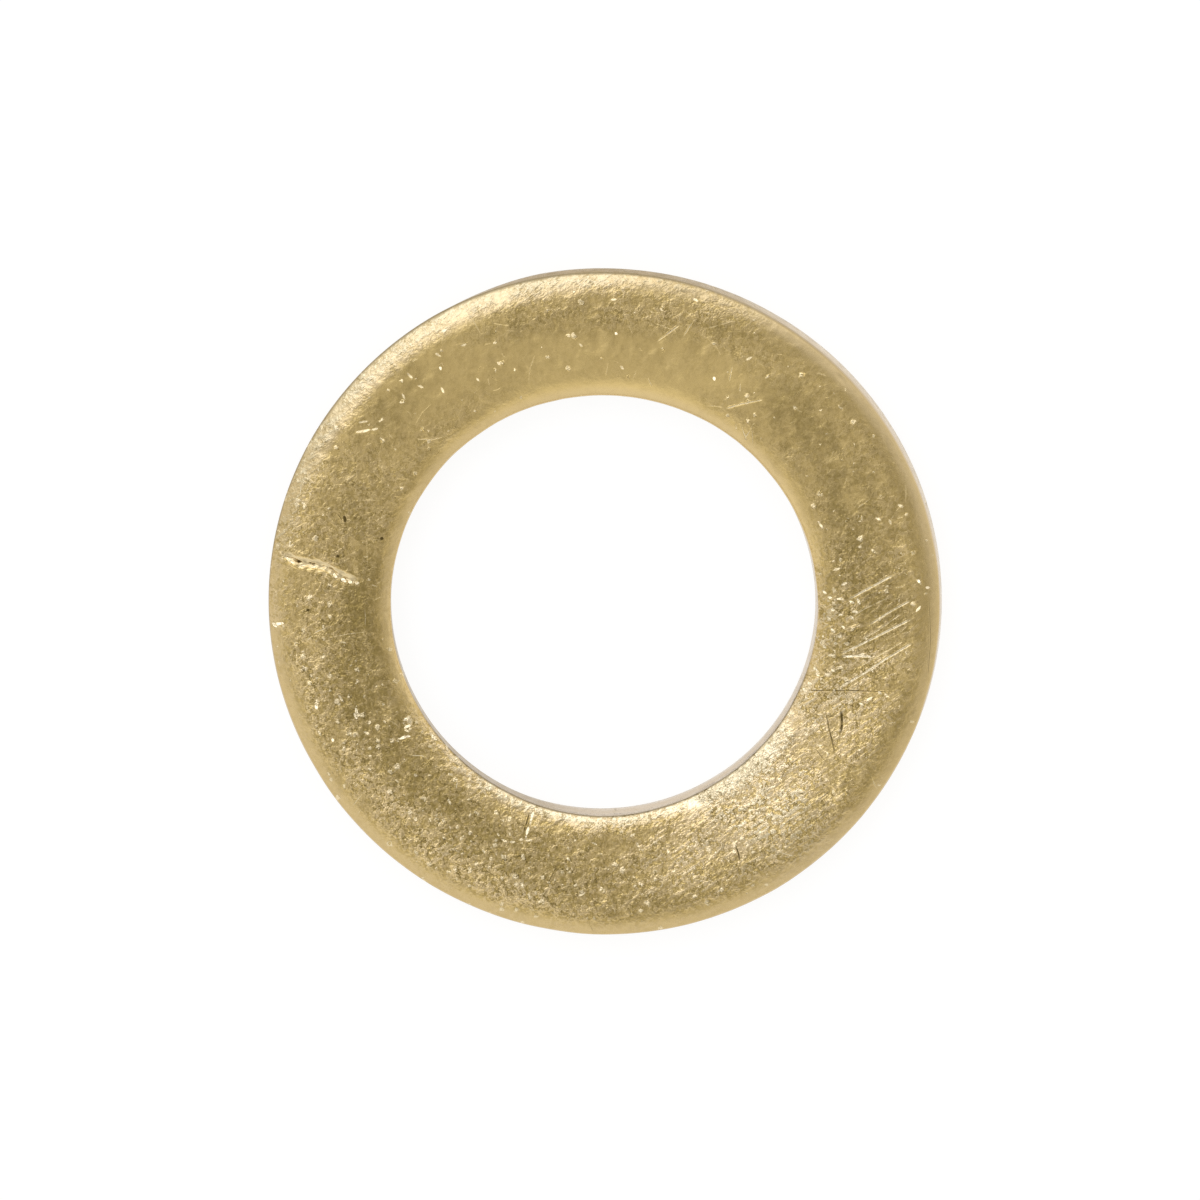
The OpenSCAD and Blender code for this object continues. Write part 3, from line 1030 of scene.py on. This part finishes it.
def brass():
    mat = bpy.data.materials.new("worn_brass")
    mat.use_nodes = True
    g = Graph(mat.node_tree)
    bsdf = mat.node_tree.nodes["Principled BSDF"]
    where = g.scaled(g.node("ShaderNodeTexCoord").outputs["Object"], 1 / MM)
    tarnish, roll, polished = g.number("tarnish"), g.number("roll"), g.number("polished")
    aged = g.number("aged")

    # fine dents of tumbling: crests that wind about, rubbed one way
    patch = g.noise(where, 1.3, 4.0, 0.6)["Fac"]
    coarse = g.times(g.number("coarse"), g.fade(patch, 0.3, 0.65, 0.45, 1.55))
    noise = g.noise(where, 6.5, 2.0, 0.68)
    grain, wander = noise["Fac"], noise["Color"]
    crest = g.linear(g.distance(grain, 0.5), -4.0, 1.0)
    drawn_out = g.node("ShaderNodeMapping", {"Vector": where, "Rotation": (0, 0, STREAK_TURN),
                                             "Scale": STREAK_SIZE}, vector_type="TEXTURE")
    streak = g.noise(drawn_out.outputs[0], 1.0, 1.0, 0.5)["Fac"]
    soft = g.noise(where, 2.6, 2.0, 0.55)["Fac"]
    streak = g.times(g.math("SUBTRACT", streak, 0.5), g.number("rubbed"))
    rubbed_grain = g.linear(streak, 0.5, grain)
    ridge = g.linear(crest, 0.3, rubbed_grain)

    # scratches, knocks and struck spots
    broken = g.fade(grain, 0.32, 0.55, 0.35, 1.1)
    layers = [stroke_layer(g, "strokes_%d" % k, broken) for k in range(LAYERS)]
    uneven = g.linear(grain, -3.0, 1.5)
    layers += [knock_layer(g, "knocks_%d" % k, uneven) for k in range(KNOCK_LAYERS)]
    drawn, bright, dark = (g.plus(*parts) for parts in zip(*layers))
    bent = g.vector("MULTIPLY_ADD", wander, (STRUCK_WANDER, STRUCK_WANDER, 0), where).outputs[0]
    struck, facets = struck_spots(g, where, bent)
    on_land = g.math("SUBTRACT", 1.0, roll, clamp=True)
    height = g.plus(g.times(rubbed_grain, coarse, GRAIN_H),
                    g.times(soft, g.linear(roll, SOFT_ON_ROLL, SOFT_H)),
                    g.times(struck, grain, g.linear(roll, STRUCK_ON_ROLL, STRUCK_H)),
                    g.times(facets, on_land), drawn)
    bump = g.node("ShaderNodeBump", {"Strength": 1.0, "Distance": MM, "Height": height})

    # tarnish: blotches in the chosen places, a thin film and grit in the hollows everywhere
    fine_patch = g.noise(where, 5.0, 3.0, 0.72)["Fac"]
    kept = g.linear(polished, -0.32, 1.0)
    blotch = g.times(tarnish, g.fade(g.plus(patch, fine_patch), 0.78, 1.22, 0.15, 1.65))
    thin = g.times(g.fade(g.plus(fine_patch, soft), 0.94, 1.25), g.linear(roll, -0.28, 0.34),
                   g.number("blotched"), kept)
    hollow = g.fade(g.distance(grain, 0.43), 0.06, 0.015)
    hollow = g.times(hollow, g.linear(roll, -0.5, 0.8))
    grit = g.times(g.plus(hollow, g.fade(fine_patch, 0.45, 0.34)),
                   g.linear(coarse, 0.32, g.times(tarnish, 0.15)), kept)
    amount = g.plus(blotch, thin, grit, g.number("dull"))
    amount = g.math("SUBTRACT", 1.0, g.math("EXPONENT", g.times(amount, -1.6)))

    # dirt in the tarnish, in the deepest hollows and in dark marks, with painted shade round the
    # struck spots and a painted dark line under the rim
    shade = g.times(struck, g.fade(g.distance(grain, 0.40), 0.06, 0.02), on_land)
    grime = g.fade(g.noise(where, 3.2, 4.0, 0.65)["Fac"], 0.62, 0.74)
    grime = g.times(grime, tarnish, 0.8)
    crevice = g.times(hollow, g.fade(fine_patch, 0.52, 0.40), coarse, kept)
    dirt_and_shade = g.linear(shade, 0.5, g.times(grime, 0.6))
    dirt_and_shade = g.linear(crevice, 0.27, dirt_and_shade)
    dirt_and_shade = g.linear(dark, 0.95, dirt_and_shade)
    dirt_and_shade = g.linear(g.number("edge_line"), 0.60, dirt_and_shade, clamp=True)

    worn = g.times(g.fade(ridge, 0.66, 0.90, -0.15, 0.65), coarse)
    pale = g.plus(g.number("pale"), worn)
    # painted glints: the struck spots, and the bright scratches and knocks, are coloured near-white
    # on top of their real facets
    painted_glint_spots = g.times(struck, g.fade(grain, 0.40, 0.50))
    bright = g.math("MAXIMUM", g.times(painted_glint_spots, 0.5), g.times(bright, 0.95), clamp=True)
    # polish and paleness are partly real wear and partly painted sheen and highlight; pale above 1
    # paints a near-white highlight
    colour = g.mix(polished, CLEAN, POLISHED_AND_SHEEN)
    colour = g.mix(pale, colour, ABRADED_AND_HIGHLIGHT)
    colour = g.mix(g.math("SUBTRACT", pale, 1.0), colour, PAINTED_GLINT)
    colour = g.mix(amount, colour, OLIVE)
    colour = g.mix(g.times(g.number("bared"), 0.7), colour, BARE)
    colour = g.mix(g.number("wall"), colour, g.mix(aged, WALL, WALL_AGED))
    colour = g.mix(dirt_and_shade, colour, DIRT_AND_SHADE)
    colour = g.mix(bright, colour, PAINTED_GLINT)
    g.put(bsdf.inputs["Base Color"], colour)

    rough = g.linear(amount, 0.12, g.fade(fine_patch, 0.3, 0.7, 0.17, 0.27))
    rough = g.linear(dirt_and_shade, 0.25, rough)
    g.put(bsdf.inputs["Roughness"], g.linear(bright, -0.12, rough))
    g.put(bsdf.inputs["Specular Tint"], g.mix(aged, WHITE, EDGE_AGED))
    bsdf.inputs["Metallic"].default_value = 1
    g.put(bsdf.inputs["Normal"], bump.outputs["Normal"])
    return mat


# Stage

FLOOR_HALF = 2.0
# just under the ring, whose lower face is at 0
FLOOR_Z = -0.02 * MM
PAPER = (0.18, 0.175, 0.165, 1)
PAPER_GLOW = 0.875


def floor_material():
    """White paper: lit by the scene, and brought up to white for the camera and for reflections."""
    mat = bpy.data.materials.new("white_floor")
    mat.use_nodes = True
    mat.node_tree.nodes.clear()
    g = Graph(mat.node_tree)
    path = g.node("ShaderNodeLightPath").outputs
    seen = g.math("MAXIMUM", path["Is Camera Ray"], path["Is Glossy Ray"])
    seen = g.math("MAXIMUM", seen, path["Is Transmission Ray"])
    paper = g.node("ShaderNodeBsdfDiffuse", {"Color": PAPER})
    glow = g.node("ShaderNodeEmission", {"Strength": g.times(seen, PAPER_GLOW)})
    both = g.node("ShaderNodeAddShader", {0: paper.outputs[0], 1: glow.outputs[0]})
    # one-sided, so that the ring's lower face shows from below
    back = g.node("ShaderNodeNewGeometry").outputs["Backfacing"]
    clear = g.node("ShaderNodeBsdfTransparent")
    sided = g.node("ShaderNodeMixShader", {0: back, 1: both.outputs[0], 2: clear.outputs[0]})
    g.node("ShaderNodeOutputMaterial", {"Surface": sided.outputs[0]})
    return mat


def floor():
    mesh = bpy.data.meshes.new("floor")
    h = FLOOR_HALF
    corners = [(-h, -h, FLOOR_Z), (h, -h, FLOOR_Z), (h, h, FLOOR_Z), (-h, h, FLOOR_Z)]
    mesh.from_pydata(corners, [], [(0, 1, 2, 3)])
    obj = bpy.data.objects.new("floor", mesh)
    bpy.context.collection.objects.link(obj)
    obj.data.materials.append(floor_material())
    return obj


def camera():
    back = Vector((0, math.sin(CAMERA_TILT), math.cos(CAMERA_TILT)))
    up = Vector((0, math.cos(CAMERA_TILT), -math.sin(CAMERA_TILT)))
    right = Vector((1, 0, 0))
    off_x = (RING_AT_PIXEL[0] - IMAGE_SIZE / 2) / PIXELS_PER_MM * MM
    off_y = (RING_AT_PIXEL[1] - IMAGE_SIZE / 2) / PIXELS_PER_MM * MM
    aim = Vector((0, 0, THICKNESS * MM)) - right * off_x + up * off_y
    data = bpy.data.cameras.new("camera")
    data.lens = data.sensor_width * CAMERA_DISTANCE / (IMAGE_SIZE / PIXELS_PER_MM * MM)
    obj = bpy.data.objects.new("camera", data)
    obj.location = aim + back * CAMERA_DISTANCE
    obj.rotation_mode = "QUATERNION"
    obj.rotation_quaternion = Matrix((right, up, back)).transposed().to_quaternion()
    bpy.context.collection.objects.link(obj)
    bpy.context.scene.camera = obj


# The studio: a white tent, dimmer overhead than at the horizon, between two angles from straight up
OVERHEAD, HORIZON = 0.52, 0.90
OVERHEAD_TO, HORIZON_FROM = math.radians(18), math.radians(62)
# soft panels of slightly cooler light: direction, angle from straight up and spread in degrees,
# and strength; the last one takes light away
PANEL_TINT = (0.95, 1.0, 1.16)
PANELS = [
    (130, 37, 15, 1.28),
    (80, 56, 14, 0.95),
    (262, 52, 20, 0.15),
    (215, 62, 16, 0.15),
    (325, 35, 18, -0.14),
]


def world():
    w = bpy.data.worlds.new("studio")
    w.use_nodes = True
    g = Graph(w.node_tree)
    way = g.node("ShaderNodeTexCoord").outputs["Generated"]
    up = g.parts(way)[2]
    light = g.fade(up, math.cos(HORIZON_FROM), math.cos(OVERHEAD_TO), HORIZON, OVERHEAD)
    for azimuth, from_up, width, strength in PANELS:
        a, t, tight = math.radians(azimuth), math.radians(from_up), math.radians(width) ** -2
        axis = (math.sin(t) * math.cos(a), math.sin(t) * math.sin(a), math.cos(t))
        toward = g.vector("DOT_PRODUCT", way, axis).outputs["Value"]
        fall = g.math("EXPONENT", g.linear(toward, tight, -tight))
        tint = [strength * part for part in PANEL_TINT]
        light = g.vector("MULTIPLY_ADD", fall, tint, light).outputs[0]
    seen = g.node("ShaderNodeLightPath").outputs["Is Camera Ray"]
    g.put(w.node_tree.nodes["Background"].inputs["Color"], g.mix(seen, light, WHITE))
    bpy.context.scene.world = w


camera()
world()
floor()
ring = build_ring()
ring.data.materials.append(brass())
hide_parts(NODE)
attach(ring, "root")

bpy.context.scene.view_settings.view_transform = "Standard"
